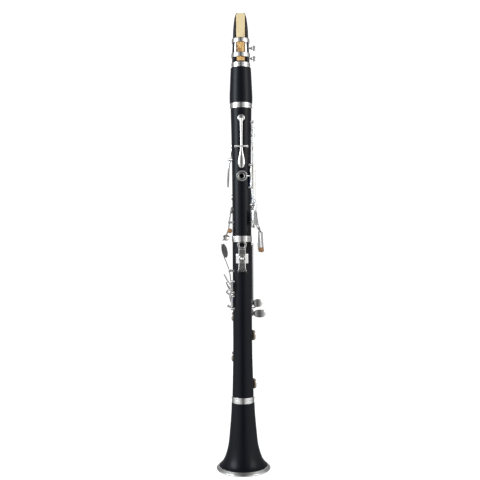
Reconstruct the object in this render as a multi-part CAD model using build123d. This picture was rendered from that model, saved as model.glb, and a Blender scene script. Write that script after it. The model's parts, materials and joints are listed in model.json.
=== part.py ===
from build123d import *
from collections import namedtuple
from math import cos, radians, sin, sqrt
import os

# A Boehm-system B flat clarinet with 17 keys and 6 rings, standing on its bell.
# Millimetres. Z runs up the bore, from the bell's rim at 0 to the mouthpiece's tip.
# -Y is the reed and thumb side, +Y the finger-hole side, +X the player's right.
# Angles round the bore are in degrees from +X towards +Y.
FRONT, BACK = 90, -90

# Heights where the sections end
TIP = 666
BARREL_TOP = 594
UPPER_TOP = 527
LOWER_TOP = 341
BELL_TOP = 106
TENON = 16            # every tenon's length

BARREL_LOW = UPPER_TOP + 0.1
FERRULE = 8           # length of the barrel's lower ferrule
TOP_FERRULE = 7
RING_LENGTH = 9       # the lower joint's and the bell's rings

# Radii
BORE = 7.4
BODY = 14             # the wooden joints
TENON_RADIUS = 10.4
CORK_RADIUS = 11.1
SOCKET_RADIUS = 11.15
SOCKET_RING_INNER = 13.6
BELL_TENON_RADIUS = 13
BELL_CORK_RADIUS = 13.7
BELL_SEAT = 14.9      # the wood under the bell's ferrule
RIM_RADIUS = 39.4     # the bell's widest place
THUMB_TUBE = 4.75
REGISTER_TUBE = 2.6

# Keywork
HINGE = 17.8          # radius at which most hinges lie
SIDE_HINGE = 18.6     # the four side keys' hinges stand a little higher
RING_HINGE = 18.2
TUBE = 1.6            # hinge tube's outer radius
ROD = 0.9             # hinge rod's radius
RUNNING = 0.05        # radial clearance of a tube on its rod
BALL = 2.1            # post's ball
COLLAR = 2.1          # collar round a post's foot
COLLAR_RISE = 0.5     # how far a collar stands proud of the wood
END_GAP = 0.1         # between a tube's end and its post
STEM = 1.3            # post's stem
STEM_REACH = 11.5     # how near to the bore's centre line a stem ends
ARM = 1.15            # radius of a key's arms
TOUCH = 1.5           # thickness of a touch plate
CUP_WALL = 0.5
PAD_THICK = 2.2
PAD_GAP = 0.08        # a shut pad's distance from its seat, so that parts don't overlap
CHIMNEY_TOP = 17      # finger holes stand out to this radius
CHIMNEY = 5.1
CHIMNEY_FOOT = 1.2    # how far a pad seat's chimney goes on below its edge
SEAT_WALL = 1         # wall of that chimney
RING_INNER = 5.8       # finger rings
RING_OUTER = 7.8
RING_THICK = 1.2

# Mouthpiece, reed and ligature
TABLE = -8.5          # the flat that the reed lies on
REED_BUTT = 596
VAMP_START = 620      # where the reed begins to thin
BARK_RADIUS = 13
LIGATURE_LOW, LIGATURE_HIGH = 601.5, 630
WINDOW_MIDDLE, WINDOW_HEIGHT = 615.5, 14
SCREW_HEIGHTS = (605.5, 621)
SCREW_Y = 16.2
SCREW_SHANK = 1.3
SCREW_CLEARANCE = 0.06
SCREW_HEAD = 4.35

# Thumb rest
REST_MIDDLE = 308     # height of its thumb screw
STRAP_RING_HEIGHT = 327.5
STRAP_HOLE = 4
REST_SCREW_HEIGHTS = (294.5, 321.5)
REST_SCREW = 1.2

# Which end of a cylinder lies at the origin
STANDING = Align.CENTER, Align.CENTER, Align.MIN
HANGING = Align.CENTER, Align.CENTER, Align.MAX

Vent = namedtuple("Vent", "angle height seat hole cup")
FingerHole = namedtuple("FingerHole", "angle height hole")
Hinge = namedtuple("Hinge", "centre axis length angle")

# Pad-covered holes: angle, height, radius of the seat's plane, hole radius, cup radius
VENTS = {
    "register_key": Vent(BACK, 512, 13.2, 1.6, 5.25),
    "throat_a_key": Vent(FRONT, 493, 12.9, 2.6, 4.8),
    "throat_g_sharp_key": Vent(146, 474, 12.9, 2.6, 4.8),
    "index_ring_key": Vent(FRONT, 454, 12.9, 2.4, 4.4),
    "middle_ring_key": Vent(FRONT, 387, 12.9, 2.4, 4.4),
    "left_sliver_key": Vent(152, 398, 12.8, 2.6, 4.5),
    "c_sharp_key": Vent(172, 379, 12.8, 2.8, 5),
    "side_key_1": Vent(28, 499, 12.9, 2.5, 4.4),
    "side_key_2": Vent(32, 479, 12.9, 2.5, 4.4),
    "side_key_3": Vent(33, 426, 12.8, 2.6, 4.2),
    "side_key_4": Vent(34, 386, 12.8, 2.6, 4.2),
    "right_ring_key": Vent(FRONT, 319, 12.9, 2.8, 4.8),
    "right_sliver_key": Vent(152, 268, 12.8, 3, 4.8),
    "a_flat_key": Vent(152, 222, 12.6, 4.2, 7),
    "f_c_key": Vent(22, 194.6, 12.8, 5.4, 8),
    "f_sharp_key": Vent(152, 163, 12.6, 5.2, 8),
    "e_b_key": Vent(22, 123, 13.4, 5.6, 8),
}

INDEX_HOLE = FingerHole(FRONT, 436, 3.4)
MIDDLE_HOLE = FingerHole(FRONT, 404, 3.6)
THIRD_HOLE = FingerHole(FRONT, 372, 3.2)
UPPER_FINGER_HOLES = [INDEX_HOLE, MIDDLE_HOLE, THIRD_HOLE]
LOWER_FINGER_HOLES = [
    FingerHole(FRONT, 306, 3.8),
    FingerHole(FRONT, 281, 3.9),
    FingerHole(FRONT, 253, 4.1),
]
THUMB_HOLE = FingerHole(BACK, 427.8, 3.3)

# How far each key that stands open is turned from shut, about its hinge's own axis
OPEN_TURN = {
    "thumb_ring_key": 5,
    "index_ring_key": -6,
    "middle_ring_key": -6,
    "right_ring_key": -4,
    "f_c_key": 9,
    "e_b_key": 9,
}


def polar(angle, radius, height):
    return Vector(radius * cos(radians(angle)), radius * sin(radians(angle)), height)


def outward(angle):
    return polar(angle, 1, 0)


def tangent(angle):
    return polar(angle + 90, 1, 0)


def along(angle, low, high, radius=HINGE):
    """A hinge parallel to the bore."""
    return Hinge(polar(angle, radius, (low + high) / 2), Vector(0, 0, 1), high - low, angle)


def across(angle, height, length, radius=HINGE):
    """A hinge that lies across the bore."""
    return Hinge(polar(angle, radius, height), tangent(angle), length, angle)


UPPER_HINGES = {
    "register_key": across(BACK, 470.6, 11.6),
    "thumb_ring_key": along(-38, 414, 442),
    "throat_a_key": across(FRONT, 474, 9),
    "throat_g_sharp_key": across(156, 453, 8),
    "index_ring_key": along(58, 431, 462, RING_HINGE),
    "middle_ring_key": along(58, 350, 420, RING_HINGE),
    "left_sliver_key": along(130, 377, 404),
    "c_sharp_key": across(172, 361, 8),
    "side_key_1": along(-24, 389, 505, SIDE_HINGE),
    "side_key_2": along(-10, 383, 486, SIDE_HINGE),
    "side_key_3": along(4, 364, 434, SIDE_HINGE),
    "side_key_4": along(18, 357, 394, SIDE_HINGE),
}
LOWER_HINGES = {
    "right_ring_key": along(36, 246, 326, 19),
    "right_sliver_key": along(130, 258, 284),
    "a_flat_key": along(109, 214, 237),
    "f_sharp_key": along(93, 157, 239),
    "e_b_key": along(77, 117, 236),
    "f_c_key": along(61, 187, 226),
    "f_sharp_lever": across(176, 290, 8, 18),
    "e_b_lever": along(-150, 260.6, 272),
    "f_c_lever": along(-150, 237, 250.6),
}
HINGES = {**UPPER_HINGES, **LOWER_HINGES}


# ---- shapes that repeat -------------------------------------------------

def straight(*points):
    """Straight runs through (radius, height) points, in the plane of an outline to turn."""
    return Polyline(*[(r, 0, z) for r, z in points])


def smooth(*points):
    return Spline(*[(r, 0, z) for r, z in points])


def turned(*runs):
    """The solid that an outline of joined runs makes when it turns round the bore."""
    edges = [edge for run in runs for edge in run.edges()]
    return revolve(Face(Wire(edges)), Axis.Z)


def sleeve(outer, inner, low, high):
    return turned(straight((inner, low), (outer, low), (outer, high), (inner, high), (inner, low)))


def rounded_sleeve(outer, inner, low, high, edge):
    """A metal ring with its outer edges rounded."""
    ring = sleeve(outer, inner, low, high)
    rims = ring.edges().filter_by(GeomType.CIRCLE).filter_by(lambda rim: rim.radius > outer - 0.01)
    return fillet(rims, edge)


def rod(start, end, radius):
    run = end - start
    return Plane(start, z_dir=run) * Cylinder(radius, run.length, align=STANDING)


def ball(centre, radius):
    return Pos(*centre) * Sphere(radius)


def arm(*points, radius=ARM):
    """A round arm along a smooth line through points, with round ends."""
    path = Spline(*points)
    section = Plane(path @ 0, z_dir=path % 0) * Circle(radius)
    swept = sweep(section, path=path)
    return swept + ball(points[0], radius * 1.02) + ball(points[-1], radius * 1.02)


def closed_outline(first, second):
    """The outline between two smooth lines that run side by side, with bowed ends."""
    def bow(end, across_end, along_end):
        middle = (end + across_end) / 2
        reach = (middle - along_end).normalized() * (end - across_end).length * 0.3
        return ThreePointArc(end, middle + reach, across_end)

    lines = [Spline(*first), Spline(*second)]
    caps = [bow(first[0], second[0], (first[1] + second[1]) / 2),
            bow(first[-1], second[-1], (first[-2] + second[-2]) / 2)]
    return Face(Wire([edge for line in lines + caps for edge in line.edges()]))


def plate(angle, middle, widths, thick=TOUCH, shift=0):
    """A curved plate that faces outward at angle.

    middle holds (height, radius) points down its middle, widths (height, half width)
    points, and shift moves it sideways along the tangent.
    """
    side_plane = Plane((0, 0, 0), x_dir=outward(angle), z_dir=-tangent(angle))
    face_plane = Plane((0, 0, 0), x_dir=tangent(angle), z_dir=outward(angle))
    side = closed_outline([Vector(r + thick / 2, z) for z, r in middle],
                          [Vector(r - thick / 2, z) for z, r in middle])
    face = closed_outline([Vector(shift + w, z) for z, w in widths],
                          [Vector(shift - w, z) for z, w in widths])
    side_slab = extrude(side_plane * side, amount=40, both=True)
    face_slab = extrude(face_plane * face, amount=40)
    return side_slab & face_slab


def vent_plane(vent):
    """The plane of a pad's seat, with its normal pointing out of the hole."""
    return Plane(polar(vent.angle, vent.seat, vent.height), z_dir=outward(vent.angle))


def pad_cup(name):
    """A shallow domed cup, shut on its seat."""
    vent = VENTS[name]
    radius, inner = vent.cup, vent.cup - CUP_WALL
    lip, floor, crown = 0.9, PAD_THICK, PAD_THICK + 0.6
    dome = crown + 0.12 * radius
    outline = (straight((0, floor), (inner, floor), (inner, lip), (radius, lip), (radius, crown)),
               ThreePointArc((radius, 0, crown), (radius * 0.6, 0, dome - 0.1), (0, 0, dome)),
               straight((0, dome), (0, floor)))
    return vent_plane(vent) * turned(*outline)


def pad_room(radius):
    """Everything under a cup's floor, so that no arm reaches into the pad."""
    return Cylinder(radius, PAD_THICK + 4, align=STANDING)


def pad(name):
    """The pad that lies in a cup, resting where the key rests."""
    vent = VENTS[name]
    disc = Cylinder(vent.cup - CUP_WALL - 0.05, PAD_THICK - PAD_GAP, align=STANDING)
    disc = fillet(disc.edges().group_by(Axis.Z)[0], 0.5)
    return at_rest(name, vent_plane(vent) * Pos(0, 0, PAD_GAP) * disc)


def cup_top(name, inset=0.0):
    """The point where an arm joins the top of a cup."""
    vent = VENTS[name]
    return polar(vent.angle, vent.seat + PAD_THICK + 0.6 + inset, vent.height)


def hinge_span(hinge, extra=0.0):
    reach = hinge.axis * (hinge.length / 2 + extra)
    return hinge.centre - reach, hinge.centre + reach


def at_rest(name, solid):
    """Turn what was built shut to the place where an open-standing key rests."""
    turn = OPEN_TURN.get(name, 0)
    hinge = HINGES[name]
    return solid.rotate(Axis(hinge.centre, hinge.axis), turn) if turn else solid


def key(name, *pieces):
    """One key, soldered up from its hinge tube and the pieces that it carries."""
    hinge = HINGES[name]
    solid = rod(*hinge_span(hinge), TUBE)
    for piece in pieces:
        solid += piece
    if name in VENTS:
        solid += pad_cup(name)
        solid -= vent_plane(VENTS[name]) * Pos(0, 0, -4) * pad_room(VENTS[name].cup - CUP_WALL)
    solid -= rod(*hinge_span(hinge, 1), ROD + RUNNING)
    return at_rest(name, solid)


# ---- wooden sections and what is turned or fitted on them -----------------

def drill(body, vents, finger_holes):
    """Cut pad seats and finger holes into a joint, and leave their chimneys standing."""
    for vent in vents:
        seat = vent_plane(vent)
        body -= seat * Pos(0, 0, -0.8) * Cylinder(vent.cup + 0.8, 12, align=STANDING)
        body += seat * Cylinder(vent.hole + SEAT_WALL, CHIMNEY_FOOT, align=HANGING)
        body -= seat * Pos(0, 0, 1) * Cylinder(vent.hole, vent.seat - 3, align=HANGING)
    for angle, height, hole in finger_holes:
        chimney = rod(polar(angle, 9, height), polar(angle, CHIMNEY_TOP, height), CHIMNEY)
        top = chimney.faces().sort_by(Axis.Y)[-1]
        body += fillet(top.edges(), 0.6)
        body -= rod(polar(angle, 3, height), polar(angle, CHIMNEY_TOP + 1, height), hole)
    return body


def post_places(hinge):
    """Where the two balls of a hinge's posts stand."""
    return hinge_span(hinge, END_GAP + BALL)


def body_radius(height):
    """The wood's radius, which grows towards the bell and towards the barrel."""
    return BODY + max(0, 190 - height) * 0.0206 + max(0, height - 430) * 0.0134


def post_line(hinge, place):
    """The point on a post's axis at each distance outward, as a function."""
    height = place.dot(outward(hinge.angle))
    return lambda distance: place + outward(hinge.angle) * (distance - height)


def post_sideways(hinge, place):
    return (place - hinge.centre).dot(tangent(hinge.angle))


def post_stem(hinge, place):
    depth = sqrt(STEM_REACH ** 2 - post_sideways(hinge, place) ** 2)
    return rod(post_line(hinge, place)(depth), place, STEM)


def post_collar(hinge, place, rise):
    """The collar round a post's foot, let into the wood where the wood curves away."""
    surface = body_radius(place.Z)
    sideways = abs(post_sideways(hinge, place))
    low = sqrt(surface ** 2 - (sideways + COLLAR) ** 2) - 0.2
    high = sqrt(surface ** 2 - sideways ** 2) + rise
    at = post_line(hinge, place)
    return rod(at(low), at(high), COLLAR)


def post(hinge, place):
    """A ball on a stem, drilled for its rod."""
    head = Plane(place, x_dir=outward(hinge.angle), z_dir=hinge.axis) * Sphere(BALL)
    solid = head + post_stem(hinge, place) + post_collar(hinge, place, COLLAR_RISE)
    return solid - rod(place - hinge.axis * 4, place + hinge.axis * 4, ROD + 0.01)


def posts(hinges):
    return Compound([post(hinge, place) for hinge in hinges for place in post_places(hinge)])


def post_hole(hinge, place):
    """What the wood loses for one post."""
    return post_stem(hinge, place) + post_collar(hinge, place, 4)


def hinge_rods():
    return Compound([rod(*hinge_span(hinge, END_GAP + 1.85 * BALL), ROD) for hinge in HINGES.values()])


def needle_springs():
    """Blued wires beside the hinges that lie along the bore, each set in one of its two posts."""
    wires = []
    for hinge in HINGES.values():
        if hinge.axis.Z < 0.5:
            continue
        way = 1 if hinge.centre.Z > LOWER_TOP else -1
        start = hinge.centre.Z - way * (hinge.length / 2 + END_GAP + BALL - STEM - 0.05)
        end = start + way * min(20, hinge.length * 0.6)
        wires.append(rod(polar(hinge.angle, 15.1, start), polar(hinge.angle, 15.1, end), 0.35))
    return Compound(wires)


def wooden_joint(outer, tenon_outline, bore, hinges, vents, finger_holes):
    """A joint turned from its outline, then drilled for its holes and its posts."""
    body = drill(turned(outer, tenon_outline), vents, finger_holes)
    for hinge in hinges:
        for place in post_places(hinge):
            body -= post_hole(hinge, place)
    return body - bore


def upper_joint():
    top, low = UPPER_TOP + TENON, LOWER_TOP - TENON
    outer = smooth((15.4, UPPER_TOP), (14.9, 505), (14.2, 460), (13.8, 400), (13.9, LOWER_TOP))
    ends = straight((13.9, LOWER_TOP), (TENON_RADIUS, LOWER_TOP), (TENON_RADIUS, low),
                    (0, low), (0, top), (TENON_RADIUS, top),
                    (TENON_RADIUS, UPPER_TOP), (15.4, UPPER_TOP))
    bore = sleeve(BORE, 0, low - 1, top + 1)
    vents = [VENTS[name] for name in UPPER_HINGES if name in VENTS]
    body = wooden_joint(outer, ends, bore, UPPER_HINGES.values(), vents, UPPER_FINGER_HOLES)
    thumb, register = THUMB_HOLE.height, VENTS["register_key"].height
    body -= rod(polar(BACK, 3, thumb), polar(BACK, 20, thumb), THUMB_TUBE)
    return body - rod(polar(BACK, 3, register), polar(BACK, 14, register), REGISTER_TUBE)


def thumb_and_register_tubes():
    """The thumb hole's tube, and the small one under the register key that enters the bore."""
    height = THUMB_HOLE.height
    thumb = rod(polar(BACK, 7.6, height), polar(BACK, 16.8, height), THUMB_TUBE)
    thumb = fillet(thumb.faces().sort_by(Axis.Y)[0].edges(), 0.6)
    thumb -= rod(polar(BACK, 7, height), polar(BACK, 18, height), THUMB_HOLE.hole)
    vent = VENTS["register_key"]
    register = rod(polar(BACK, 4, vent.height), polar(BACK, vent.seat, vent.height), REGISTER_TUBE)
    register -= rod(polar(BACK, 3, vent.height), polar(BACK, 15, vent.height), vent.hole)
    return Compound([thumb, register])


def lower_joint():
    ring_low, low = LOWER_TOP - RING_LENGTH, BELL_TOP - TENON
    outer_wall = smooth((BODY, 190), (14.15, 172), (14.6, 150), (15.1, 127), (15.75, BELL_TOP))
    ends = straight((15.75, BELL_TOP), (BELL_TENON_RADIUS, BELL_TOP), (BELL_TENON_RADIUS, low),
                    (0, low), (0, LOWER_TOP), (SOCKET_RING_INNER, LOWER_TOP),
                    (SOCKET_RING_INNER, ring_low), (BODY, ring_low), (BODY, 190))
    socket = sleeve(SOCKET_RADIUS, 0, LOWER_TOP - TENON - 0.5, LOWER_TOP + 1)
    flare_low = low - 1
    flare = turned(smooth((BORE, 180), (BORE + 0.6, 150), (10.8, flare_low)),
                   straight((10.8, flare_low), (0, flare_low), (0, 180), (BORE, 180)))
    bore = sleeve(BORE, 0, 179, LOWER_TOP) + socket + flare
    vents = [VENTS[name] for name in LOWER_HINGES if name in VENTS]
    body = wooden_joint(outer_wall, ends, bore, LOWER_HINGES.values(), vents, LOWER_FINGER_HOLES)
    return body.cut(*[rod(polar(BACK, 11, height), polar(BACK, 15, height), REST_SCREW)
                      for height in REST_SCREW_HEIGHTS])


def beaded_ring(inner, low, high, outer, bead_outer, bead_height):
    """A metal ring with a bead at its upper end, or at its lower end if bead_height is below 0."""
    split = high - bead_height if bead_height > 0 else low - bead_height
    below, above = (outer, bead_outer) if bead_height > 0 else (bead_outer, outer)
    return rounded_sleeve(below, inner, low, split, 0.4) + rounded_sleeve(above, inner, split, high, 0.4)


def lower_joint_ring():
    return beaded_ring(SOCKET_RING_INNER, LOWER_TOP - RING_LENGTH, LOWER_TOP, 14.8, 14.8, 3.2)


def tenon_corks():
    """The three corks on the joints' tenons."""
    return Compound([
        sleeve(CORK_RADIUS, TENON_RADIUS, UPPER_TOP + 2, UPPER_TOP + TENON - 2),
        sleeve(CORK_RADIUS, TENON_RADIUS, LOWER_TOP - TENON + 2, LOWER_TOP - 2),
        sleeve(BELL_CORK_RADIUS, BELL_TENON_RADIUS, BELL_TOP - TENON + 2, BELL_TOP - 2),
    ])


def barrel():
    ring_top, ring_low = BARREL_LOW + FERRULE, BARREL_TOP - TOP_FERRULE
    lower_socket, upper_socket = BARREL_LOW + TENON + 1, BARREL_TOP - TENON
    outer = smooth((14.9, ring_low), (15.6, 574), (16.3, 558), (16.8, 545), (16.6, ring_top))
    ends = straight((16.6, ring_top), (14.3, ring_top), (14.3, BARREL_LOW), (SOCKET_RADIUS, BARREL_LOW),
                    (SOCKET_RADIUS, lower_socket), (BORE, lower_socket), (BORE, upper_socket),
                    (SOCKET_RADIUS, upper_socket), (SOCKET_RADIUS, BARREL_TOP), (12.6, BARREL_TOP),
                    (12.6, ring_low), (14.9, ring_low))
    return turned(outer, ends)


def barrel_rings():
    """Two ferrules, each turned with a bead."""
    return Compound([
        beaded_ring(12.6, BARREL_TOP - TOP_FERRULE, BARREL_TOP, 13.65, 13.9, 3),
        beaded_ring(14.3, BARREL_LOW, BARREL_LOW + FERRULE, 16.15, 16.4, -3),
    ])


def bell():
    ring_low, socket_low = BELL_TOP - RING_LENGTH, BELL_TOP - TENON - 0.5
    outer = smooth((16.9, ring_low), (17.4, 84), (18.4, 70), (20.2, 50), (22.2, 34), (25, 23),
                   (29.6, 12), (36, 5))
    inner = smooth((33.6, 0.6), (29.5, 9), (23.5, 20), (18.3, 33), (14.4, 52), (11.6, socket_low))
    socket = BELL_CORK_RADIUS + 0.05
    foot = straight((36, 5), (34.6, 5), (34.6, 0.6), (33.6, 0.6))
    top = straight((11.6, socket_low), (socket, socket_low), (socket, BELL_TOP), (BELL_SEAT, BELL_TOP),
                   (BELL_SEAT, ring_low), (16.9, ring_low))
    return turned(outer, foot, inner, top)


def bell_rings():
    """The ferrule round the bell's socket, and the band round its rim."""
    ferrule = beaded_ring(BELL_SEAT, BELL_TOP - RING_LENGTH, BELL_TOP, 16.5, 16.8, 4)
    rim = turned(straight((34.6, 5), (34.6, 0), (38.8, 0)),
                 ThreePointArc((38.8, 0, 0), (RIM_RADIUS, 0, 0.9), (38.9, 0, 2.2)),
                 straight((38.9, 2.2), (36.2, 5), (34.6, 5)))
    return Compound([ferrule, rim])


# ---- mouthpiece, reed and ligature ----------------------------------------


def mouthpiece():
    tenon_low = BARREL_TOP - TENON
    outer = smooth((12.85, BARREL_TOP), (12.85, 600), (12.1, 619), (11.75, 633), (11.6, TIP))
    ends = straight((11.6, TIP), (0, TIP), (0, tenon_low), (TENON_RADIUS, tenon_low),
                    (TENON_RADIUS, BARREL_TOP), (12.85, BARREL_TOP))
    blank = turned(outer, ends)
    widths = [(13.2, 576), (13.2, 595), (12.2, 619), (11.2, 632), (10.9, 641), (9.85, 651),
              (8.6, 659), (6.4, 665.6)]
    right, left = [Spline(*[(side * w, z) for w, z in widths]) for side in (1, -1)]
    tip_edge = ThreePointArc((6.4, 665.6), (0, TIP), (-6.4, 665.6))
    foot_edge = Line((13.2, 576), (-13.2, 576))
    front = Face(Wire([e for run in (right, tip_edge, left, foot_edge) for e in run.edges()]))
    blank &= extrude(Plane.XZ * front, amount=30, both=True)
    beak = Face(Wire([*ThreePointArc((13, 619), (3.4, 641), (-6.3, 667)).edges(),
                      *Polyline((-6.3, 667), (20, 667), (20, 619), (13, 619)).edges()]))
    lay = Face(Wire([*Line((TABLE, 560), (TABLE, 640)).edges(),
                     *ThreePointArc((TABLE, 640), (TABLE + 0.28, 653), (TABLE + 1.1, 667)).edges(),
                     *Polyline((TABLE + 1.1, 667), (-20, 667), (-20, 560), (TABLE, 560)).edges()]))
    table_cut = extrude(Plane.YZ * lay, amount=20, both=True) & Pos(0, 0, 630.5) * Box(60, 60, 72)
    blank -= extrude(Plane.YZ * beak, amount=20, both=True) + table_cut
    window = Pos(0, -7, 644) * Box(9.6, 8, 33)
    return blank - sleeve(BORE, 0, tenon_low - 1, 630) - window


def mouthpiece_cork():
    return sleeve(CORK_RADIUS, TENON_RADIUS, BARREL_TOP - TENON + 2, BARREL_TOP - 2)


def reed():
    """Flat-backed cane, round on the bark side and thinned to a fine tip."""
    plan = Face(Wire([*Line((-5.8, REED_BUTT), (5.8, REED_BUTT)).edges(),
                      *Line((5.8, REED_BUTT), (6.6, 663.5)).edges(),
                      *ThreePointArc((6.6, 663.5), (0, TIP - 0.2), (-6.6, 663.5)).edges(),
                      *Line((-6.6, 663.5), (-5.8, REED_BUTT)).edges()]))
    back, tip_y = -14, TABLE - 0.2
    flats = Polyline((TABLE, TIP), (TABLE, REED_BUTT), (back, REED_BUTT), (back, VAMP_START))
    side = Face(Wire([*flats.edges(),
                      *ThreePointArc((back, VAMP_START), (-10.5, 640), (tip_y, TIP)).edges(),
                      *Line((tip_y, TIP), (TABLE, TIP)).edges()]))
    bark = Pos(0, 1.3, REED_BUTT) * Cylinder(BARK_RADIUS, 80, align=STANDING)
    blank = extrude(Plane.XZ * plan, amount=30, both=True) & extrude(Plane.YZ * side, amount=20, both=True)
    return blank & bark


def ligature():
    """A split metal band with open windows, drawn tight by two screws at the front."""
    band = turned(straight((13.15, LIGATURE_LOW), (13.85, LIGATURE_LOW), (12.85, LIGATURE_HIGH),
                           (12.15, LIGATURE_HIGH), (13.15, LIGATURE_LOW)))
    middle = Pos(0, 0, WINDOW_MIDDLE)
    band -= middle * Pos(0, -12, 0) * Box(13, 14, WINDOW_HEIGHT)
    for angle in (-8, 188, 38, 142):
        band -= middle * Rot(0, 0, angle) * Pos(12, 0, 0) * Box(10, 8.5, WINDOW_HEIGHT)
    band -= middle * Pos(0, 13, 0) * Box(2.4, 10, 40)
    for height in SCREW_HEIGHTS:
        for side in (1, -1):
            ear = Pos(side * 2.7, 15.3, height) * Box(3, 6.2, 6)
            band += fillet(ear.edges().filter_by(Axis.X).group_by(Axis.Y)[-1], 2)
        axis = Vector(-9, SCREW_Y, height), Vector(9, SCREW_Y, height)
        band -= rod(*axis, SCREW_SHANK + SCREW_CLEARANCE)
    low, high = LIGATURE_LOW - 1, LIGATURE_HIGH + 1
    return band - turned(straight((0, low), (13.18, low), (12.12, high), (0, high), (0, low)))


def ligature_screw(height):
    """A knurled thumb screw on a long shank."""
    shank = rod(Vector(-5.5, SCREW_Y, height), Vector(18, SCREW_Y, height), SCREW_SHANK)
    collar = rod(Vector(15.6, SCREW_Y, height), Vector(17.5, SCREW_Y, height), 2.4)
    head = rod(Vector(17.2, SCREW_Y, height), Vector(23.2, SCREW_Y, height), SCREW_HEAD)
    head = fillet(head.edges().filter_by(GeomType.CIRCLE), 0.9)
    return shank + collar + head


# ---- keys of the upper joint ------------------------------------------------

def hinge_point(name, height):
    hinge = HINGES[name]
    return Vector(hinge.centre.X, hinge.centre.Y, height)


def cup_arm(name, *between, radius=ARM):
    """An arm from a key's tube, past points given as (angle, radius), to the top of its cup."""
    height = VENTS[name].height
    points = [polar(angle, r, height) for angle, r in between]
    return arm(hinge_point(name, height), *points, cup_top(name), radius=radius)


def finger_ring(angle, height):
    plane = Plane(polar(angle, CHIMNEY_TOP - RING_THICK, height), z_dir=outward(angle))
    disc = Cylinder(RING_OUTER, RING_THICK, align=STANDING)
    disc = fillet(disc.edges().filter_by(GeomType.CIRCLE), 0.45)
    return plane * (disc - Cylinder(RING_INNER, RING_THICK * 3))


def ring_with_arm(name, height, bend_angle, bend_radius):
    """A finger ring at the front, with the arm that joins it to its tube."""
    ring_edge = Vector(RING_OUTER - 1, CHIMNEY_TOP - RING_THICK / 2, height)
    joined = arm(hinge_point(name, height), polar(bend_angle, bend_radius, height), ring_edge, radius=0.95)
    return finger_ring(FRONT, height) + joined


def register_key():
    body = plate(BACK,
                 [(439, 20.6), (447, 20.4), (458, 19.6), (470.6, 18.6), (490, 17.9), (505, 17.2),
                  (512, 16.7)],
                 [(438.5, 2.4), (442, 4.4), (447, 5.4), (456, 3.9), (466, 1.9), (480, 1.6), (500, 2),
                  (512, 2.2)])
    ridge = arm(polar(BACK, 19.4, 463), polar(BACK, 18.9, 472), polar(BACK, 18.3, 488),
                polar(BACK, 17.6, 504), radius=1.2)
    return key("register_key", body, ridge)


def thumb_ring_key():
    height = THUMB_HOLE[1]
    ring_edge = Vector(RING_OUTER - 1, -(CHIMNEY_TOP - RING_THICK / 2), height)
    link = arm(hinge_point("thumb_ring_key", height), polar(-52, 18, height), ring_edge, radius=0.95)
    return key("thumb_ring_key", finger_ring(BACK, height), link)


def throat_a_key():
    body = plate(FRONT,
                 [(446, 21.1), (453, 21.2), (463, 20.4), (474, 18.7), (486, 17.2), (493, 16.4)],
                 [(446, 2.6), (450, 3.7), (458, 3.8), (466, 2.4), (474, 1.9), (486, 1.7), (493, 1.9)])
    return key("throat_a_key", body)


def throat_g_sharp_key():
    name = "throat_g_sharp_key"
    touch = plate(168, [(413, 20.7), (425, 20.3), (440, 19.3)],
                  [(412, 2), (418, 3.6), (426, 4.1), (436, 3), (441, 2)])
    spine = arm(polar(168, 19.3, 438), polar(161, 19, 447), polar(156, 18.2, 453),
                polar(151, 17.3, 464), cup_top(name))
    return key(name, touch, spine)


def index_ring_key():
    name = "index_ring_key"
    ring = ring_with_arm(name, INDEX_HOLE.height, 62, 17.6)
    return key(name, ring, cup_arm(name, (70, 16.9), (80, 16.2), radius=0.9))


def middle_ring_key():
    name = "middle_ring_key"
    ring = ring_with_arm(name, MIDDLE_HOLE.height, 62, 17.6)
    bridge = arm(hinge_point(name, 354), polar(67, 17.8, 352.3), polar(72, 17, 347.5),
                 polar(70, 16.2, 340), radius=0.9)
    return key(name, ring, cup_arm(name, (70, 17.2), radius=0.95), bridge)


def sliver_key(name, touch_height):
    """A key whose thin touch lies between two finger holes, with its pad on the other side."""
    touch = plate(113, [(touch_height - 6, 18.4), (touch_height, 18.6), (touch_height + 6, 18.4)],
                  [(touch_height - 6, 1.3), (touch_height, 2), (touch_height + 6, 1.3)])
    link = arm(hinge_point(name, touch_height), polar(121, 18.6, touch_height),
               polar(114, 18.4, touch_height))
    return key(name, touch, link, cup_arm(name, (142, 17.3)))


def c_sharp_key():
    body = plate(172,
                 [(334, 28), (338, 25.5), (344, 22.5), (352, 19.8), (361, 18.6), (371, 17.3), (379, 16.2)],
                 [(334, 4), (338, 4.6), (344, 3.6), (351, 2), (361, 1.7), (371, 1.7), (379, 2)])
    return key("c_sharp_key", body)


# Each side key's touch: angle, height of its lower end, radius there, and the way its arm
# takes from the tube, as (angle, radius, height) points
SIDE_TOUCHES = {
    "side_key_1": (-36, 357, 23.6, [(-24, 18.6, 394), (-25, 21.4, 391.5), (-28, 22.5, 386),
                                    (-35, 22.2, 377)]),
    "side_key_2": (-15, 357, 23.6, [(-10, 18.6, 388), (-10, 21.4, 385.5), (-11, 22.5, 381),
                                    (-14, 22.2, 376)]),
    "side_key_3": (-34, 318, 30.3, [(4, 18.6, 369), (3, 21.4, 366.5), (0, 23.5, 360), (-6, 25.8, 352),
                                    (-20, 27.2, 348.5), (-32, 27.5, 343)]),
    "side_key_4": (-13, 318, 31.8, [(18, 18.6, 362), (17, 21.4, 359.5), (14, 24, 353), (4, 27, 348),
                                    (-9, 29, 342)]),
}
SIDE_TOUCH_LENGTH = {"side_key_1": 21, "side_key_2": 21, "side_key_3": 28, "side_key_4": 28}


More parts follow.
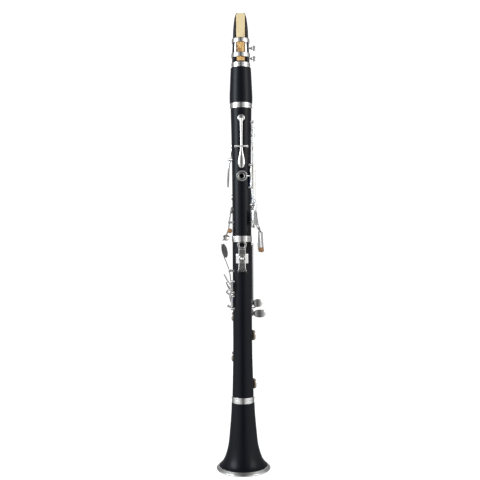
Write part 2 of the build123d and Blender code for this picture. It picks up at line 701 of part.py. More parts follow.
def side_key(name):
    """A long tube with its pad turned round to the front and its touch at the lower end."""
    angle, low, radius, way = SIDE_TOUCHES[name]
    length = SIDE_TOUCH_LENGTH[name]
    touch = plate(angle,
                  [(low, radius), (low + length / 2, radius - 1.6), (low + length, radius - 1.9)],
                  [(low, 2.8), (low + length * 0.3, 3.7), (low + length * 0.7, 3.4), (low + length, 2.2)])
    hinge_angle, vent = HINGES[name].angle, VENTS[name]
    step = (vent.angle - hinge_angle) / 3
    round_top = [(hinge_angle + step, 18.4), (hinge_angle + 2 * step, 17.3)]
    return key(name, touch, arm(*[polar(*place) for place in way]), cup_arm(name, *round_top))


# ---- keys of the lower joint ------------------------------------------------

def right_ring_key():
    name = "right_ring_key"
    rings = [ring_with_arm(name, hole.height, 52, 18.2) for hole in LOWER_FINGER_HOLES]
    bridge = arm(hinge_point(name, 322), polar(48, 20, 327), polar(60, 20, 334), polar(68, 19.4, 343))
    return key(name, *rings, cup_arm(name, (60, 18)), bridge)


def little_finger_touch(x, low, half_width):
    """A flat touch that faces the front, out at one side of the body."""
    return plate(FRONT, [(low, 9), (low + 5, 9.3), (low + 10, 9)],
                 [(low, half_width - 0.8), (low + 5, half_width), (low + 10, half_width - 0.8)], shift=-x)


def inner_touch(angle, low, radius):
    """A touch that lies over the tubes, facing outward."""
    return plate(angle, [(low, radius), (low + 5, radius + 0.2), (low + 10, radius)],
                 [(low, 3.7), (low + 5, 4.4), (low + 10, 3.7)])


def a_flat_key():
    name = "a_flat_key"
    crossing = arm(hinge_point(name, 233.5), polar(105, 20.9, 233.5), polar(92, 21.9, 233.5),
                   polar(72, 22.3, 233.5), polar(48, 22, 233.8), polar(31, 22.1, 235.5),
                   Vector(20.5, 9.3, 238.5))
    touch = little_finger_touch(22.8, 236.5, 5)
    return key(name, touch, crossing, cup_arm(name, (123, 18.2), (138, 17.4)))


def f_sharp_key():
    name = "f_sharp_key"
    crossing = arm(hinge_point(name, 236.8), polar(89, 20.8, 238), polar(76, 22.4, 240),
                   polar(62, 22.8, 241))
    return key(name, inner_touch(58, 236.5, 23), crossing, cup_arm(name, (110, 18.5), (132, 18)))


def e_b_key():
    name = "e_b_key"
    riser = arm(hinge_point(name, 226), polar(73, 21.2, 226), polar(62, 23.8, 226))
    return key(name, inner_touch(56, 221, 24), riser, cup_arm(name, (58, 18.8), (38, 18.4)))


def f_c_key():
    name = "f_c_key"
    link = arm(hinge_point(name, 223.5), polar(50, 19.1, 224), polar(36, 20.2, 225), Vector(20.5, 9.3, 226))
    return key(name, little_finger_touch(25.6, 221, 6.8), link, cup_arm(name, (46, 18.4), (33, 17.4)))


# ---- left-hand levers of the lower joint --------------------------------------

def f_sharp_lever():
    spatula = plate(176,
                    [(245, 17.4), (262, 17.2), (288, 18.4), (300, 22), (314, 27.4), (329, 30)],
                    [(245, 1.4), (270, 1.6), (288, 1.9), (300, 3), (316, 4.6), (326, 3.8), (330, 2.4)])
    tail = arm(polar(176, 17.4, 246), polar(162, 18.6, 245.3), polar(144, 20.4, 243.4),
               polar(126, 20.8, 241.5))
    return key("f_sharp_lever", spatula, tail)


def leaf_lever(name, angle, low, way, tail):
    """A short tube with a leaf-shaped touch above it and a tail that runs round to the front."""
    leaf = plate(angle,
                 [(low, 20.9), (low + 6, 24), (low + 12, 27.2)],
                 [(low, 1.4), (low + 6, 2.7), (low + 12, 1.5)])
    arms = [arm(*[polar(*place) for place in places]) for places in (way, tail)]
    return key(name, leaf, *arms)


def e_b_lever():
    return leaf_lever("e_b_lever", -165, 273,
                      [(-150, 17.8, 270), (-155, 20.9, 271), (-163, 21.2, 274)],
                      [(-150, 17.8, 263), (-160, 21.4, 262), (-178, 22.9, 259), (160, 22.6, 256),
                       (142, 21.4, 252), (126, 20.8, 249)])


def f_c_lever():
    return leaf_lever("f_c_lever", -146, 262,
                      [(-150, 17.8, 248.6), (-148, 21.2, 251), (-146, 22, 257), (-146, 21.3, 264)],
                      [(-150, 17.8, 241), (-160, 20.6, 240), (-180, 21.4, 238), (155, 21.3, 236),
                       (138, 21, 235), (128, 20.8, 234)])


# ---- thumb rest ---------------------------------------------------------------


def half_shell(outer, inner, half_width, low, high):
    """A strip bent round the back of the body."""
    window = Pos(0, -20, (low + high) / 2) * Box(2 * half_width, 40, high - low)
    return sleeve(outer, inner, low, high) & window


def thumb_rest_plate():
    """The curved plate on the wood, and the two screws that hold it."""
    strip = half_shell(15.6, 14.03, 5.2, 291, 325)
    screws = []
    for height in REST_SCREW_HEIGHTS:
        strip -= rod(polar(BACK, 12, height), polar(BACK, 17, height), REST_SCREW + 0.05)
        screws.append(rod(polar(BACK, 11, height), polar(BACK, 15.4, height), REST_SCREW))
    strip -= rod(polar(BACK, 12, REST_MIDDLE), polar(BACK, 18, REST_MIDDLE), 2.2)
    return Compound([strip, *screws])


def thumb_rest_hook():
    """The slider with its strap ring, curved saddle and thumb shelf."""
    saddle = half_shell(17.4, 15.8, 9, 301, 315)
    stem = plate(BACK, [(288.5, 17.3), (300, 16.6), (316, 16.6), (325, 17.2)],
                 [(288.5, 6), (293, 5.4), (300, 4.6), (316, 4.8), (325, 4.4)], thick=1.4)
    shelf_outline = Face(Wire([*Spline((-17.2, 290.4), (-22, 289.6), (-28, 292.6)).edges(),
                               *Line((-28, 292.6), (-28.6, 290.8)).edges(),
                               *Spline((-28.6, 290.8), (-22.2, 287.4), (-16.7, 288.2)).edges(),
                               *Line((-16.7, 288.2), (-17.2, 290.4)).edges()]))
    shelf = extrude(Plane.YZ * shelf_outline, amount=6.4, both=True)
    eye_plane = Plane(Vector(0, -18, STRAP_RING_HEIGHT), z_dir=outward(BACK))
    eye = eye_plane * (Cylinder(6.6, 1.8) - Cylinder(STRAP_HOLE, 6))
    hook = saddle + stem + shelf + eye
    hook -= eye_plane * Cylinder(STRAP_HOLE, 12)
    return hook - rod(polar(BACK, 15, REST_MIDDLE), polar(BACK, 19, REST_MIDDLE), 1.56)


def thumb_rest_screw():
    """The round thumb screw that locks the slider."""
    shank = rod(polar(BACK, 15.9, REST_MIDDLE), polar(BACK, 19, REST_MIDDLE), 1.5)
    head = rod(polar(BACK, 17.9, REST_MIDDLE), polar(BACK, 21.2, REST_MIDDLE), 5)
    head = fillet(head.edges().filter_by(GeomType.CIRCLE), 0.8)
    return shank + head + ball(polar(BACK, 20.3, REST_MIDDLE), 2.75)


# ---- all nodes -----------------------------------------------------------------

def key_nodes():
    keys = {
        "register_key": register_key(),
        "thumb_ring_key": thumb_ring_key(),
        "throat_a_key": throat_a_key(),
        "throat_g_sharp_key": throat_g_sharp_key(),
        "index_ring_key": index_ring_key(),
        "middle_ring_key": middle_ring_key(),
        "left_sliver_key": sliver_key("left_sliver_key", 388),
        "c_sharp_key": c_sharp_key(),
        "right_ring_key": right_ring_key(),
        "right_sliver_key": sliver_key("right_sliver_key", 267),
        "a_flat_key": a_flat_key(),
        "f_sharp_key": f_sharp_key(),
        "e_b_key": e_b_key(),
        "f_c_key": f_c_key(),
        "f_sharp_lever": f_sharp_lever(),
        "e_b_lever": e_b_lever(),
        "f_c_lever": f_c_lever(),
    }
    keys.update({name: side_key(name) for name in SIDE_TOUCHES})
    return keys


def fixed_nodes():
    return {
        "mouthpiece": mouthpiece(),
        "mouthpiece_cork": mouthpiece_cork(),
        "reed": reed(),
        "ligature": ligature(),
        "ligature_screw_upper": ligature_screw(SCREW_HEIGHTS[1]),
        "ligature_screw_lower": ligature_screw(SCREW_HEIGHTS[0]),
        "barrel": barrel(),
        "barrel_rings": barrel_rings(),
        "upper_joint": upper_joint(),
        "lower_joint": lower_joint(),
        "lower_joint_ring": lower_joint_ring(),
        "tenon_corks": tenon_corks(),
        "thumb_and_register_tubes": thumb_and_register_tubes(),
        "upper_posts": posts(UPPER_HINGES.values()),
        "lower_posts": posts(LOWER_HINGES.values()),
        "hinge_rods": hinge_rods(),
        "needle_springs": needle_springs(),
        "bell": bell(),
        "bell_rings": bell_rings(),
        "thumb_rest_plate": thumb_rest_plate(),
        "thumb_rest_hook": thumb_rest_hook(),
        "thumb_rest_screw": thumb_rest_screw(),
    }


def pad_nodes():
    return {name.replace("_key", "_pad"): pad(name) for name in VENTS}


def main():
    os.makedirs("parts", exist_ok=True)
    for name, solid in {**fixed_nodes(), **key_nodes(), **pad_nodes()}.items():
        export_step(solid, f"parts/{name}.step")


if __name__ == "__main__":
    main()
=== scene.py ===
import json
from math import cos, pi, radians, sin

import bmesh
import bpy
from mathutils import Matrix, Vector


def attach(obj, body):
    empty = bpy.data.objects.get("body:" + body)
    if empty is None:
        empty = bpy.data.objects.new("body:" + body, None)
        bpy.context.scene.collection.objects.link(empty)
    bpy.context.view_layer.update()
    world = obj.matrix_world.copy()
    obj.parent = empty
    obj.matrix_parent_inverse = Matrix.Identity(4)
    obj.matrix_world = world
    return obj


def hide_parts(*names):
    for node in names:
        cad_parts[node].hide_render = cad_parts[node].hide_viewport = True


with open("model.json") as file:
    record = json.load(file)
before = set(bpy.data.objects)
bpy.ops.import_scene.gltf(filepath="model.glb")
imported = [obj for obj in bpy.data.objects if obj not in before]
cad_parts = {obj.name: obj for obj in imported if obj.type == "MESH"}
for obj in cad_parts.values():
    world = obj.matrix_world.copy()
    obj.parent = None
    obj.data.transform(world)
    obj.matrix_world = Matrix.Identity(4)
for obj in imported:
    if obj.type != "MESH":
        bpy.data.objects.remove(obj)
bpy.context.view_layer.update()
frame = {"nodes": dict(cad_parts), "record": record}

MM = 0.001            # one millimetre in the scene's metres


# ---- shader building ----------------------------------------------------------

class Shader:
    """A material's node tree, with short calls to add and join nodes."""

    def __init__(self, name, **sockets):
        self.material = bpy.data.materials.new(name)
        self.material.use_nodes = True
        self.tree = self.material.node_tree
        self.surface = self.tree.nodes["Principled BSDF"]
        for socket, value in sockets.items():
            self.surface.inputs[socket.replace("_", " ")].default_value = value
        self.place = self.tree.nodes.new("ShaderNodeTexCoord").outputs["Object"]

    def add(self, kind, inputs=(), **settings):
        node = self.tree.nodes.new("ShaderNode" + kind)
        for key, value in settings.items():
            setattr(node, key, value)
        for socket, value in dict(inputs).items():
            if isinstance(value, bpy.types.NodeSocket):
                self.tree.links.new(value, node.inputs[socket])
            else:
                node.inputs[socket].default_value = value
        return node

    def join(self, output, socket):
        self.tree.links.new(output, self.surface.inputs[socket])

    def stretched(self, x, y, z):
        """Object coordinates in millimetres, divided by a size along each axis."""
        scale = (1 / (x * MM), 1 / (y * MM), 1 / (z * MM))
        return self.add("Mapping", {"Vector": self.place, "Scale": scale}).outputs["Vector"]

    def noise(self, vector, detail=4, roughness=0.55, distortion=0.0):
        texture = self.add("TexNoise", {"Vector": vector, "Scale": 1, "Detail": detail,
                                        "Roughness": roughness, "Distortion": distortion})
        return texture.outputs["Fac"]

    def ramp(self, factor, *stops):
        """A colour ramp of (position, colour) stops."""
        node = self.add("ValToRGB", {"Fac": factor})
        elements = node.color_ramp.elements
        while len(elements) < len(stops):
            elements.new(0.5)
        for element, (position, colour) in zip(elements, stops):
            element.position = position
            element.color = (*colour, 1)
        return node.outputs["Color"]

    def spread(self, factor, low, high, from_low=0.3, from_high=0.7):
        node = self.add("MapRange", {"Value": factor, "From Min": from_low, "From Max": from_high,
                                     "To Min": low, "To Max": high})
        return node.outputs["Result"]

    def maths(self, operation, first, second=0.0):
        node = self.add("Math", {0: first, 1: second}, operation=operation)
        return node.outputs["Value"]

    def mix(self, factor, first, second):
        node = self.add("MixRGB", {"Fac": factor, "Color1": first, "Color2": second})
        return node.outputs["Color"]

    def bump(self, height, depth_mm, rounded=0.0):
        """Bump of a real depth, over edges that look rounded by a radius in millimetres."""
        inputs = {"Height": height, "Strength": 1, "Distance": depth_mm * MM}
        if rounded:
            inputs["Normal"] = self.add("Bevel", {"Radius": rounded * MM}, samples=4).outputs["Normal"]
        self.join(self.add("Bump", inputs).outputs["Normal"], "Normal")


def silver_plate():
    """Polished plate with faint warm tarnish, handling marks and fine buffing lines."""
    s = Shader("silver_plate", Metallic=1, Specular_IOR_Level=0.5)
    cloud = s.noise(s.stretched(9, 9, 14), detail=5)
    marks = s.noise(s.stretched(1.6, 1.6, 3.5), detail=6, roughness=0.65)
    tarnish, plain, bright = (0.70, 0.68, 0.64), (0.79, 0.785, 0.77), (0.83, 0.83, 0.82)
    s.join(s.ramp(cloud, (0.3, tarnish), (0.52, plain), (0.75, bright)), "Base Color")
    s.join(s.spread(marks, 0.10, 0.26), "Roughness")
    lines = s.noise(s.stretched(0.35, 0.35, 6), detail=3)
    s.bump(lines, 0.006, rounded=0.28)
    return s.material


def dark_wood(name, grain_depth, low_rough, high_rough, tint):
    """Black hardwood, oiled to a satin shine, with its grain along the bore."""
    s = Shader(name, Specular_IOR_Level=0.2)
    grain = s.noise(s.stretched(0.55, 0.55, 38), detail=7, roughness=0.62, distortion=0.4)
    cloud = s.noise(s.stretched(7, 7, 60), detail=3)
    dark, light = [tuple(c * k for c in tint) for k in (0.55, 1.6)]
    s.join(s.ramp(s.maths("ADD", s.maths("MULTIPLY", grain, 0.7), s.maths("MULTIPLY", cloud, 0.3)),
                  (0.34, dark), (0.55, tint), (0.74, light)), "Base Color")
    s.join(s.spread(grain, low_rough, high_rough), "Roughness")
    s.bump(grain, grain_depth, rounded=0.3)
    return s.material


def hard_rubber():
    """Moulded black rubber with a high polish and faint lathe marks."""
    s = Shader("hard_rubber", Specular_IOR_Level=0.5)
    smudge = s.noise(s.stretched(5, 5, 8), detail=5, roughness=0.6)
    s.join(s.ramp(smudge, (0.3, (0.008, 0.008, 0.010)), (0.7, (0.018, 0.018, 0.021))), "Base Color")
    s.join(s.spread(smudge, 0.08, 0.2), "Roughness")
    s.bump(s.noise(s.stretched(6, 6, 0.3), detail=2), 0.004, rounded=0.4)
    return s.material


# The reed's bark in the CAD: its radius, and how far in front of the bore its centre lies
REED_ROUND = 13.0
REED_CENTRE = 1.3
LIGATURE_TOP = 630


def reed_cane():
    """Pale scraped cane on the vamp, mottled orange bark below it, fibres along both."""
    s = Shader("reed_cane", Specular_IOR_Level=0.35)
    fibre = s.noise(s.stretched(0.16, 0.5, 22), detail=5, roughness=0.7)
    blotch = s.noise(s.stretched(2.2, 2.2, 4.5), detail=6, roughness=0.62, distortion=0.8)
    pale = s.ramp(fibre, (0.3, (0.80, 0.58, 0.27)), (0.5, (0.90, 0.72, 0.42)),
                  (0.72, (0.95, 0.82, 0.55)))
    bark = s.ramp(blotch, (0.34, (0.10, 0.03, 0.01)), (0.42, (0.50, 0.23, 0.06)),
                  (0.52, (0.92, 0.60, 0.24)))
    axes = s.add("SeparateXYZ", {"Vector": s.place})
    x, y = axes.outputs["X"], s.maths("SUBTRACT", axes.outputs["Y"], REED_CENTRE * MM)
    radius = s.maths("SQRT", s.maths("ADD", s.maths("MULTIPLY", x, x), s.maths("MULTIPLY", y, y)))
    on_round = s.spread(radius, 0, 1, (REED_ROUND - 0.12) * MM, (REED_ROUND - 0.04) * MM)
    below = s.spread(axes.outputs["Z"], 1, 0, (LIGATURE_TOP - 1.5) * MM, LIGATURE_TOP * MM)
    on_bark = s.maths("MULTIPLY", on_round, below)
    s.join(s.mix(on_bark, pale, bark), "Base Color")
    s.join(s.spread(on_bark, 0.62, 0.3, 0, 1), "Roughness")
    s.bump(fibre, 0.03, rounded=0.2)
    return s.material


def cork():
    """Natural cork, speckled with dark pores."""
    s = Shader("cork", Roughness=0.85, Specular_IOR_Level=0.2)
    grains = s.add("TexVoronoi", {"Vector": s.stretched(0.9, 0.9, 0.9), "Scale": 1}).outputs["Distance"]
    tone = s.noise(s.stretched(0.7, 0.7, 0.7), detail=6, roughness=0.7)
    pore, brown, pale = (0.13, 0.055, 0.025), (0.38, 0.20, 0.09), (0.56, 0.34, 0.17)
    s.join(s.ramp(tone, (0.32, pore), (0.46, brown), (0.7, pale)), "Base Color")
    s.bump(s.maths("ADD", grains, tone), 0.08)
    return s.material


def spring_steel():
    """Blued steel wire."""
    s = Shader("spring_steel", Metallic=1)
    tone = s.noise(s.stretched(0.8, 0.8, 5), detail=4)
    s.join(s.ramp(tone, (0.35, (0.05, 0.08, 0.20)), (0.7, (0.17, 0.22, 0.40))), "Base Color")
    s.join(s.spread(tone, 0.22, 0.38), "Roughness")
    return s.material


def rod_steel():
    """Bright steel pins with a turned finish."""
    s = Shader("rod_steel", Metallic=1)
    tone = s.noise(s.stretched(1, 1, 0.4), detail=4)
    s.join(s.ramp(tone, (0.35, (0.45, 0.45, 0.47)), (0.7, (0.66, 0.66, 0.68))), "Base Color")
    s.join(s.spread(tone, 0.2, 0.35), "Roughness")
    return s.material


def pad_skin():
    """Thin fish-skin stretched over felt, a little wrinkled."""
    s = Shader("pad_skin", Specular_IOR_Level=0.4, Sheen_Weight=0.15)
    wrinkle = s.noise(s.stretched(1.1, 1.1, 1.1), detail=6, distortion=1.2)
    s.join(s.ramp(wrinkle, (0.3, (0.70, 0.55, 0.36)), (0.7, (0.90, 0.80, 0.62))), "Base Color")
    s.join(s.spread(wrinkle, 0.4, 0.65), "Roughness")
    s.bump(wrinkle, 0.05)
    return s.material


MATERIALS = {
    "silver_plate": silver_plate(),
    "wood": dark_wood("dark_wood", 0.015, 0.26, 0.38, (0.0035, 0.0045, 0.0085)),
    "ebonite": hard_rubber(),
    "cane": reed_cane(),
    "cork": cork(),
    "spring_steel": spring_steel(),
    "pad_skin": pad_skin(),
}
ROD_STEEL = rod_steel()


def finish_cad_nodes():
    """Give each CAD node the material of its slot, and the hinge rods plain steel."""
    slot_of = {row["node"]: row["material_slot"] for row in frame["record"]["subparts"]}
    for name, obj in frame["nodes"].items():
        material = ROD_STEEL if name == "hinge_rods" else MATERIALS[slot_of[name]]
        for material_slot in obj.material_slots:
            material_slot.material = material


# ---- pieces made here, in millimetres --------------------------------------------

BACK = -90            # degrees round the bore; the side that faces the camera
FRONT = 90
RIGHT = Vector((1, 0, 0))
AWAY = Vector((0, 1, 0))


def polar(angle, radius, height):
    return Vector((radius * cos(radians(angle)), radius * sin(radians(angle)), height))


def circle(centre, across, up, radius, count=28):
    """Points round a centre, in the plane of two directions."""
    turns = [2 * pi * i / count for i in range(count)]
    return [centre + radius * (cos(t) * across + sin(t) * up) for t in turns]


def half_turn(steps):
    """Angles from 0 to half a turn, in radians."""
    return [pi * k / steps for k in range(steps + 1)]


def loft(shape, sections):
    """Skin over sections that all have the same number of points, with both ends closed."""
    rings = [[shape.verts.new(point) for point in section] for section in sections]
    for first, second in zip(rings, rings[1:]):
        for i, corner in enumerate(first):
            j = (i + 1) % len(first)
            shape.faces.new((corner, first[j], second[j], second[i]))
    shape.faces.new(rings[0])
    shape.faces.new(rings[-1])


def turned(shape, start, axis, profile):
    """A solid turned round an axis from (distance, radius) points."""
    across = axis.orthogonal().normalized()
    up = axis.cross(across)
    loft(shape, [circle(start + axis * distance, across, up, radius) for distance, radius in profile])


def eased(points, at):
    """The smooth curve through (place, value) points, a cubic between each two, read at one place."""
    last = len(points) - 1
    i = min(max(sum(place <= at for place, _ in points) - 1, 0), last - 1)
    slopes = []
    for k in (i, i + 1):
        before, after = points[max(k - 1, 0)], points[min(k + 1, last)]
        slopes.append((after[1] - before[1]) / (after[0] - before[0]))
    (low, first), (high, second) = points[i], points[i + 1]
    width = high - low
    t = (at - low) / width
    return ((2 * t ** 3 - 3 * t ** 2 + 1) * first + (t ** 3 - 2 * t ** 2 + t) * width * slopes[0]
            + (3 * t ** 2 - 2 * t ** 3) * second + (t ** 3 - t ** 2) * width * slopes[1])


def add_piece(name, build, material, body, *nodes):
    """A mesh that rides a body, and stands for the CAD nodes that are named, if any."""
    mesh = bpy.data.meshes.new(name)
    shape = bmesh.new()
    build(shape)
    bmesh.ops.scale(shape, vec=(MM, MM, MM), verts=shape.verts)
    bmesh.ops.recalc_face_normals(shape, faces=shape.faces)
    for face in shape.faces:
        face.smooth = True
    shape.to_mesh(mesh)
    shape.free()
    mesh.materials.append(MATERIALS[material])
    piece = bpy.data.objects.new(name, mesh)
    bpy.context.scene.collection.objects.link(piece)
    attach(piece, body)
    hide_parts(*nodes)


REGISTER_TIP = 438.6  # heights on the register key: its touch's end, its hinge and its pad
REGISTER_HINGE = 470.6
REGISTER_HOLE = 512
HINGE = 17.8          # how far from the bore its hinge is
SEAT = 13.2           # and its pad's seat
# The key's distance from the bore and its half width, at each height
REGISTER_SPINE = [(REGISTER_TIP, 20.7), (447, 20.5), (458, 19.7), (REGISTER_HINGE, 18.6),
                  (490, 17.9), (505, 17.2), (REGISTER_HOLE, 16.7)]
REGISTER_WIDTH = [(REGISTER_TIP, 1.2), (440, 3.2), (443, 4.6), (447, 5.3), (456, 3.9), (466, 2),
                  (480, 1.6), (500, 1.9), (REGISTER_HOLE, 2.2)]
REGISTER_STEPS = 60
SPOON_THICK = 0.8     # at its edge
CROWN = 0.34          # how much the spoon rises, as a share of its half width


def register_key(shape):
    """A long spoon with a crowned back, on its hinge tube, with a domed cup at the top."""
    sections = []
    turns = half_turn(14)
    for i in range(REGISTER_STEPS + 1):
        height = REGISTER_TIP + (REGISTER_HOLE - REGISTER_TIP) * i / REGISTER_STEPS
        middle, half = eased(REGISTER_SPINE, height), eased(REGISTER_WIDTH, height)
        rise = SPOON_THICK + CROWN * half
        outer = [Vector((half * cos(t), -(middle - 0.5 + rise * sin(t)), height)) for t in turns]
        inner = [Vector((half * cos(t) * 0.92, -(middle - 0.7), height)) for t in reversed(turns)]
        sections.append(outer + inner)
    loft(shape, sections)
    tube = [(0, 1.4), (0.2, 1.6), (11.4, 1.6), (11.6, 1.4)]
    turned(shape, Vector((-5.8, -HINGE, REGISTER_HINGE)), RIGHT, tube)
    cup = [(0.9, 5.1), (1, 5.25), (2.4, 5.25), (2.8, 5), (3.1, 4.3), (3.4, 3), (3.6, 1.5), (3.65, 0.3)]
    turned(shape, Vector((0, -SEAT, REGISTER_HOLE)), -AWAY, cup)


LIGATURE_LOW, LIGATURE_RADIUS, LIGATURE_TAPER = 601.5, 13.85, 0.035
LIGATURE_WALL = 0.7
LIGATURE_BANDS = (602, 608.6), (623.4, 629.8)
# Angles from the back that each strip between the bands covers
LIGATURE_STRIPS = (30, 44), (-44, -30), (150, 166), (-166, -150)
LIGATURE_GAP = 6      # degrees on each side of the split at the front
SCREW_Y = 16.2
SCREW_HEIGHTS = {"ligature_screw_upper": 621, "ligature_screw_lower": 605.5}


def ligature_radius(height):
    """Outer radius of the ligature, which narrows towards the tip."""
    return LIGATURE_RADIUS - (height - LIGATURE_LOW) * LIGATURE_TAPER


def bent_strip(shape, start, end, low, high, bulge):
    """A strip of the ligature between two angles and two heights."""
    steps = max(2, round(abs(end - start) / 4))
    sections = []
    for i in range(steps + 1):
        angle = start + (end - start) * i / steps
        profile = [(-LIGATURE_WALL, low), (-0.15, low), (0, low + 0.4), (bulge, (low + high) / 2),
                   (0, high - 0.4), (-0.15, high), (-LIGATURE_WALL, high)]
        sections.append([polar(angle, ligature_radius(z) + r, z) for r, z in profile])
    loft(shape, sections)


def ligature(shape):
    """Two bands joined by strips beside the reed and at the front, with the screws' ears."""
    (_, lower_top), (upper_low, _) = LIGATURE_BANDS
    for low, high in LIGATURE_BANDS:
        bent_strip(shape, FRONT + LIGATURE_GAP, FRONT + 360 - LIGATURE_GAP, low, high, 0.12)
    for start, end in LIGATURE_STRIPS:
        bent_strip(shape, BACK + start, BACK + end, lower_top - 0.5, upper_low + 0.5, 0)
    for height in SCREW_HEIGHTS.values():
        for side in (1, -1):
            ear = [(0, 2.4), (0.4, 2.8), (2.6, 2.8), (3, 2.4)]
            turned(shape, Vector((side * 1.2, 15.4, height)), side * RIGHT, ear)
            turned(shape, Vector((side * 2.7, 11.6, height)), AWAY, [(0, 1.4), (3.5, 1.4)])


# Across a paddle's thickness: distance from its middle, and its share of the full outline
PADDLE_FACES = ((-1.3, 0.35), (-1.15, 0.7), (-0.7, 0.92), (0, 1), (0.7, 0.92), (1.15, 0.7), (1.3, 0.35))
PADDLE_START, PADDLE_LENGTH, PADDLE_HALF_HEIGHT = 18.6, 4.5, 4.3


def thumb_screw(height):
    """A long shank with a D-shaped paddle to turn it by."""
    def build(shape):
        shank = [(0, 1.1), (0.4, 1.3), (22, 1.3), (23.5, 1.2)]
        collar = [(0, 2.2), (0.3, 2.4), (1.6, 2.4), (2.6, 1.6)]
        turned(shape, Vector((-5.5, SCREW_Y, height)), RIGHT, shank)
        turned(shape, Vector((15.6, SCREW_Y, height)), RIGHT, collar)
        sections = []
        for offset, share in PADDLE_FACES:
            middle = Vector((PADDLE_START, SCREW_Y + offset, height))
            reach, rise = PADDLE_LENGTH * share, PADDLE_HALF_HEIGHT * share
            turns = [t - pi / 2 for t in half_turn(20)]
            sections.append([middle + Vector((reach * cos(t), 0, rise * sin(t))) for t in turns])
        loft(shape, sections)
    return build


OVAL_THICK = 1.4


def oval(centre, length, width, crown):
    """A crowned oval plate, with half its length and width as vectors, rising towards their cross."""
    centre, length, width = Vector(centre), Vector(length), Vector(width)

    def build(shape):
        rise = length.cross(width).normalized()
        sections = []
        turns = half_turn(12)
        for place in half_turn(16)[1:-1]:
            share = sin(place)
            middle = centre - length * cos(place)
            outer = [middle + width * share * cos(t) + rise * (OVAL_THICK / 2 + crown * share * sin(t))
                     for t in turns]
            inner = [middle + width * share * cos(t) - rise * OVAL_THICK / 2 for t in reversed(turns)]
            sections.append(outer + inner)
        loft(shape, sections)
    return build


BUMPER_RADIUS = 3.6
BUMPER_EDGE = 0.3


def bumper(centre, thick):
    """A cork disc glued to the side of a key that faces the camera."""
    inner = BUMPER_RADIUS - BUMPER_EDGE
    profile = [(0, inner), (BUMPER_EDGE, BUMPER_RADIUS)]
    profile += [(thick - BUMPER_EDGE, BUMPER_RADIUS), (thick, inner)]
    return lambda shape: turned(shape, Vector(centre), -AWAY, profile)


# CAD pieces whose sharp corners are rounded here, as on castings
SOFTENED = "a_flat_key", "f_c_key", "f_sharp_key", "e_b_key", "thumb_rest_hook"
VOXEL = 0.25
SMOOTHING_PASSES = 30


def soften(name):
    """Round the corners of a cast piece, as polishing does."""
    piece = frame["nodes"][name]
    remesh = piece.modifiers.new("cast", "REMESH")
    remesh.mode = "VOXEL"
    remesh.voxel_size = VOXEL * MM
    remesh.use_smooth_shade = True
    smooth = piece.modifiers.new("polished", "SMOOTH")
    smooth.factor = 0.5
    smooth.iterations = SMOOTHING_PASSES


# Crowned touches on the keys that show them: body, centre, half length, half width, crown
TOUCHES = {
    "c_sharp_touch": ("c_sharp_key", (-23.2, -4.2, 338.5), (-5.2, -1.3, 0.5), (0, -1.6, -4.2), 1.5),
    "f_sharp_touch": ("f_sharp_lever", (-25.6, -4.5, 319.5), (2.3, 0, -10.4), (-4.2, 0, -0.9), 1.5),
    "a_flat_touch": ("a_flat_key", (22.6, 8.4, 241.5), (7.4, 0, 0), (0, 0, 6), 1.7),
    "f_c_touch": ("f_c_key", (25.4, 8.4, 226), (9.4, 0, 0), (0, 0, 6), 1.8),
}


def add_own_pieces():
    for name, (body, *size) in TOUCHES.items():
        add_piece(name, oval(*size), "silver_plate", body)
    add_piece("c_sharp_bumper", bumper((-17.6, -5.5, 348.5), 4), "cork", "c_sharp_key")
    add_piece("side_bumper", bumper((28, -15, 320.5), 3.4), "cork", "side_key_3")
    add_piece("register_spoon", register_key, "silver_plate", "register_key", "register_key")
    add_piece("ligature_bands", ligature, "silver_plate", "barrel_and_mouthpiece", "ligature")
    for node, height in SCREW_HEIGHTS.items():
        add_piece(node + "_paddle", thumb_screw(height), "silver_plate", node, node)


# ---- stage, light and camera ---------------------------------------------------

CAMERA_DISTANCE = 1.02  # metres, as the next two are
CAMERA_HEIGHT = 0.335
CAMERA_SIDE = -0.0029
CAMERA_ROLL = -0.40   # degrees
FOCAL_PIXELS = 694    # focal length
PICTURE_WIDTH = 480   # pixels
STUDIO_RADIUS = 3.5
TENT_GLOW = 0.95      # the white tent at the sides
GAP_GLOW = 0.07       # its slit at the camera
BEHIND_SHARE = 0.28   # how much of the tent's glow is left behind the instrument
OVERHEAD_SHARE = 0.45


def add_camera():
    data = bpy.data.cameras.new("camera")
    data.sensor_width = 36
    data.lens = FOCAL_PIXELS * data.sensor_width / PICTURE_WIDTH
    camera = bpy.data.objects.new("camera", data)
    camera.location = (CAMERA_SIDE, -CAMERA_DISTANCE, CAMERA_HEIGHT)
    tilt = Matrix.Rotation(radians(90), 4, "X")
    camera.rotation_euler = (tilt @ Matrix.Rotation(radians(CAMERA_ROLL), 4, "Z")).to_euler()
    bpy.context.scene.collection.objects.link(camera)
    bpy.context.scene.camera = camera


def add_stage_piece(name, build, tone, glow):
    """A white floor or backdrop, which shows to the camera but not in the metal."""
    mesh = bpy.data.meshes.new(name)
    shape = bmesh.new()
    build(shape)
    shape.to_mesh(mesh)
    shape.free()
    piece = bpy.data.objects.new(name, mesh)
    bpy.context.scene.collection.objects.link(piece)
    s = Shader(name, Roughness=0.7, Specular_IOR_Level=0.1, Emission_Strength=glow)
    s.surface.inputs["Emission Color"].default_value = (1, 1, 1, 1)
    cloud = s.noise(s.stretched(300, 300, 300))
    s.join(s.ramp(cloud, (0.3, (tone,) * 3), (0.7, (tone + 0.02,) * 3)), "Base Color")
    mesh.materials.append(s.material)
    piece.visible_glossy = False
    piece.visible_diffuse = False
    piece.visible_shadow = False


def build_floor(shape):
    bmesh.ops.create_circle(shape, cap_ends=True, segments=64, radius=STUDIO_RADIUS)


def build_backdrop(shape):
    bmesh.ops.create_uvsphere(shape, u_segments=48, v_segments=24, radius=STUDIO_RADIUS)


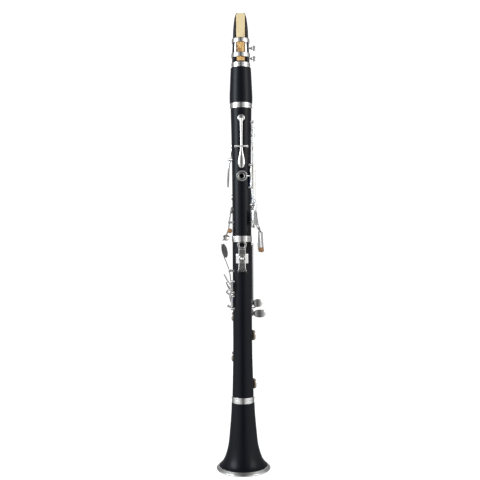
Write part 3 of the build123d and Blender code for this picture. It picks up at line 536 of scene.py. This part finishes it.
def add_softbox(name, angle, height, size, brightness, colour):
    """A softbox one metre from the instrument, at an angle in degrees round it."""
    data = bpy.data.lights.new(name, "AREA")
    data.shape = "RECTANGLE"
    data.size, data.size_y = size
    data.energy = brightness * pi * size[0] * size[1]
    data.color = colour
    light = bpy.data.objects.new(name, data)
    place = Vector((cos(radians(angle)), sin(radians(angle)), height))
    light.location = place
    light.rotation_euler = (Vector((0, 0, height - 0.1)) - place).to_track_quat("-Z", "Y").to_euler()
    light.visible_camera = False
    bpy.context.scene.collection.objects.link(light)


def add_world():
    """A white tent round the front and sides, darker at the back, with a dark gap for the camera."""
    world = bpy.data.worlds.new("studio")
    world.use_nodes = True
    tree = world.node_tree

    def spread(value, low, high, to_low, to_high):
        node = tree.nodes.new("ShaderNodeMapRange")
        tree.links.new(value, node.inputs["Value"])
        limits = {"From Min": low, "From Max": high, "To Min": to_low, "To Max": to_high}
        for socket, number in limits.items():
            node.inputs[socket].default_value = number
        return node.outputs["Result"]

    def maths(operation, first, second=None):
        node = tree.nodes.new("ShaderNodeMath")
        node.operation = operation
        tree.links.new(first, node.inputs[0])
        if second is not None:
            tree.links.new(second, node.inputs[1])
        return node.outputs["Value"]

    place = tree.nodes.new("ShaderNodeTexCoord")
    axes = tree.nodes.new("ShaderNodeSeparateXYZ")
    tree.links.new(place.outputs["Generated"], axes.inputs["Vector"])
    x, y, z = axes.outputs
    sideways = spread(maths("ABSOLUTE", x), 0.04, 0.66, GAP_GLOW, TENT_GLOW)
    gap = maths("MAXIMUM", sideways, spread(y, -0.5, 0.0, 0.0, TENT_GLOW))
    behind = spread(y, -0.1, 0.5, 1.0, BEHIND_SHARE)
    upright = spread(maths("ABSOLUTE", z), 0.5, 0.95, 1.0, OVERHEAD_SHARE)
    light = maths("MULTIPLY", maths("MULTIPLY", gap, behind), upright)
    tree.links.new(light, tree.nodes["Background"].inputs["Strength"])
    tree.nodes["Background"].inputs["Color"].default_value = (0.98, 0.98, 1.0, 1)
    bpy.context.scene.world = world


def light_studio():
    add_world()
    add_softbox("left_softbox", BACK - 63, 0.78, (0.55, 0.8), 5.8, (0.80, 0.91, 1.0))
    add_softbox("right_softbox", BACK + 60, 0.78, (0.5, 0.8), 2.5, (1.0, 0.98, 0.95))
    add_softbox("far_softbox", FRONT, 0.5, (0.35, 1.2), 2.0, (1.0, 1.0, 1.0))


finish_cad_nodes()
add_own_pieces()
for name in SOFTENED:
    soften(name)
add_stage_piece("floor", build_floor, 0.25, 0.95)
add_stage_piece("backdrop", build_backdrop, 0.1, 1.0)
light_studio()
add_camera()
bpy.context.scene.view_settings.view_transform = "Standard"
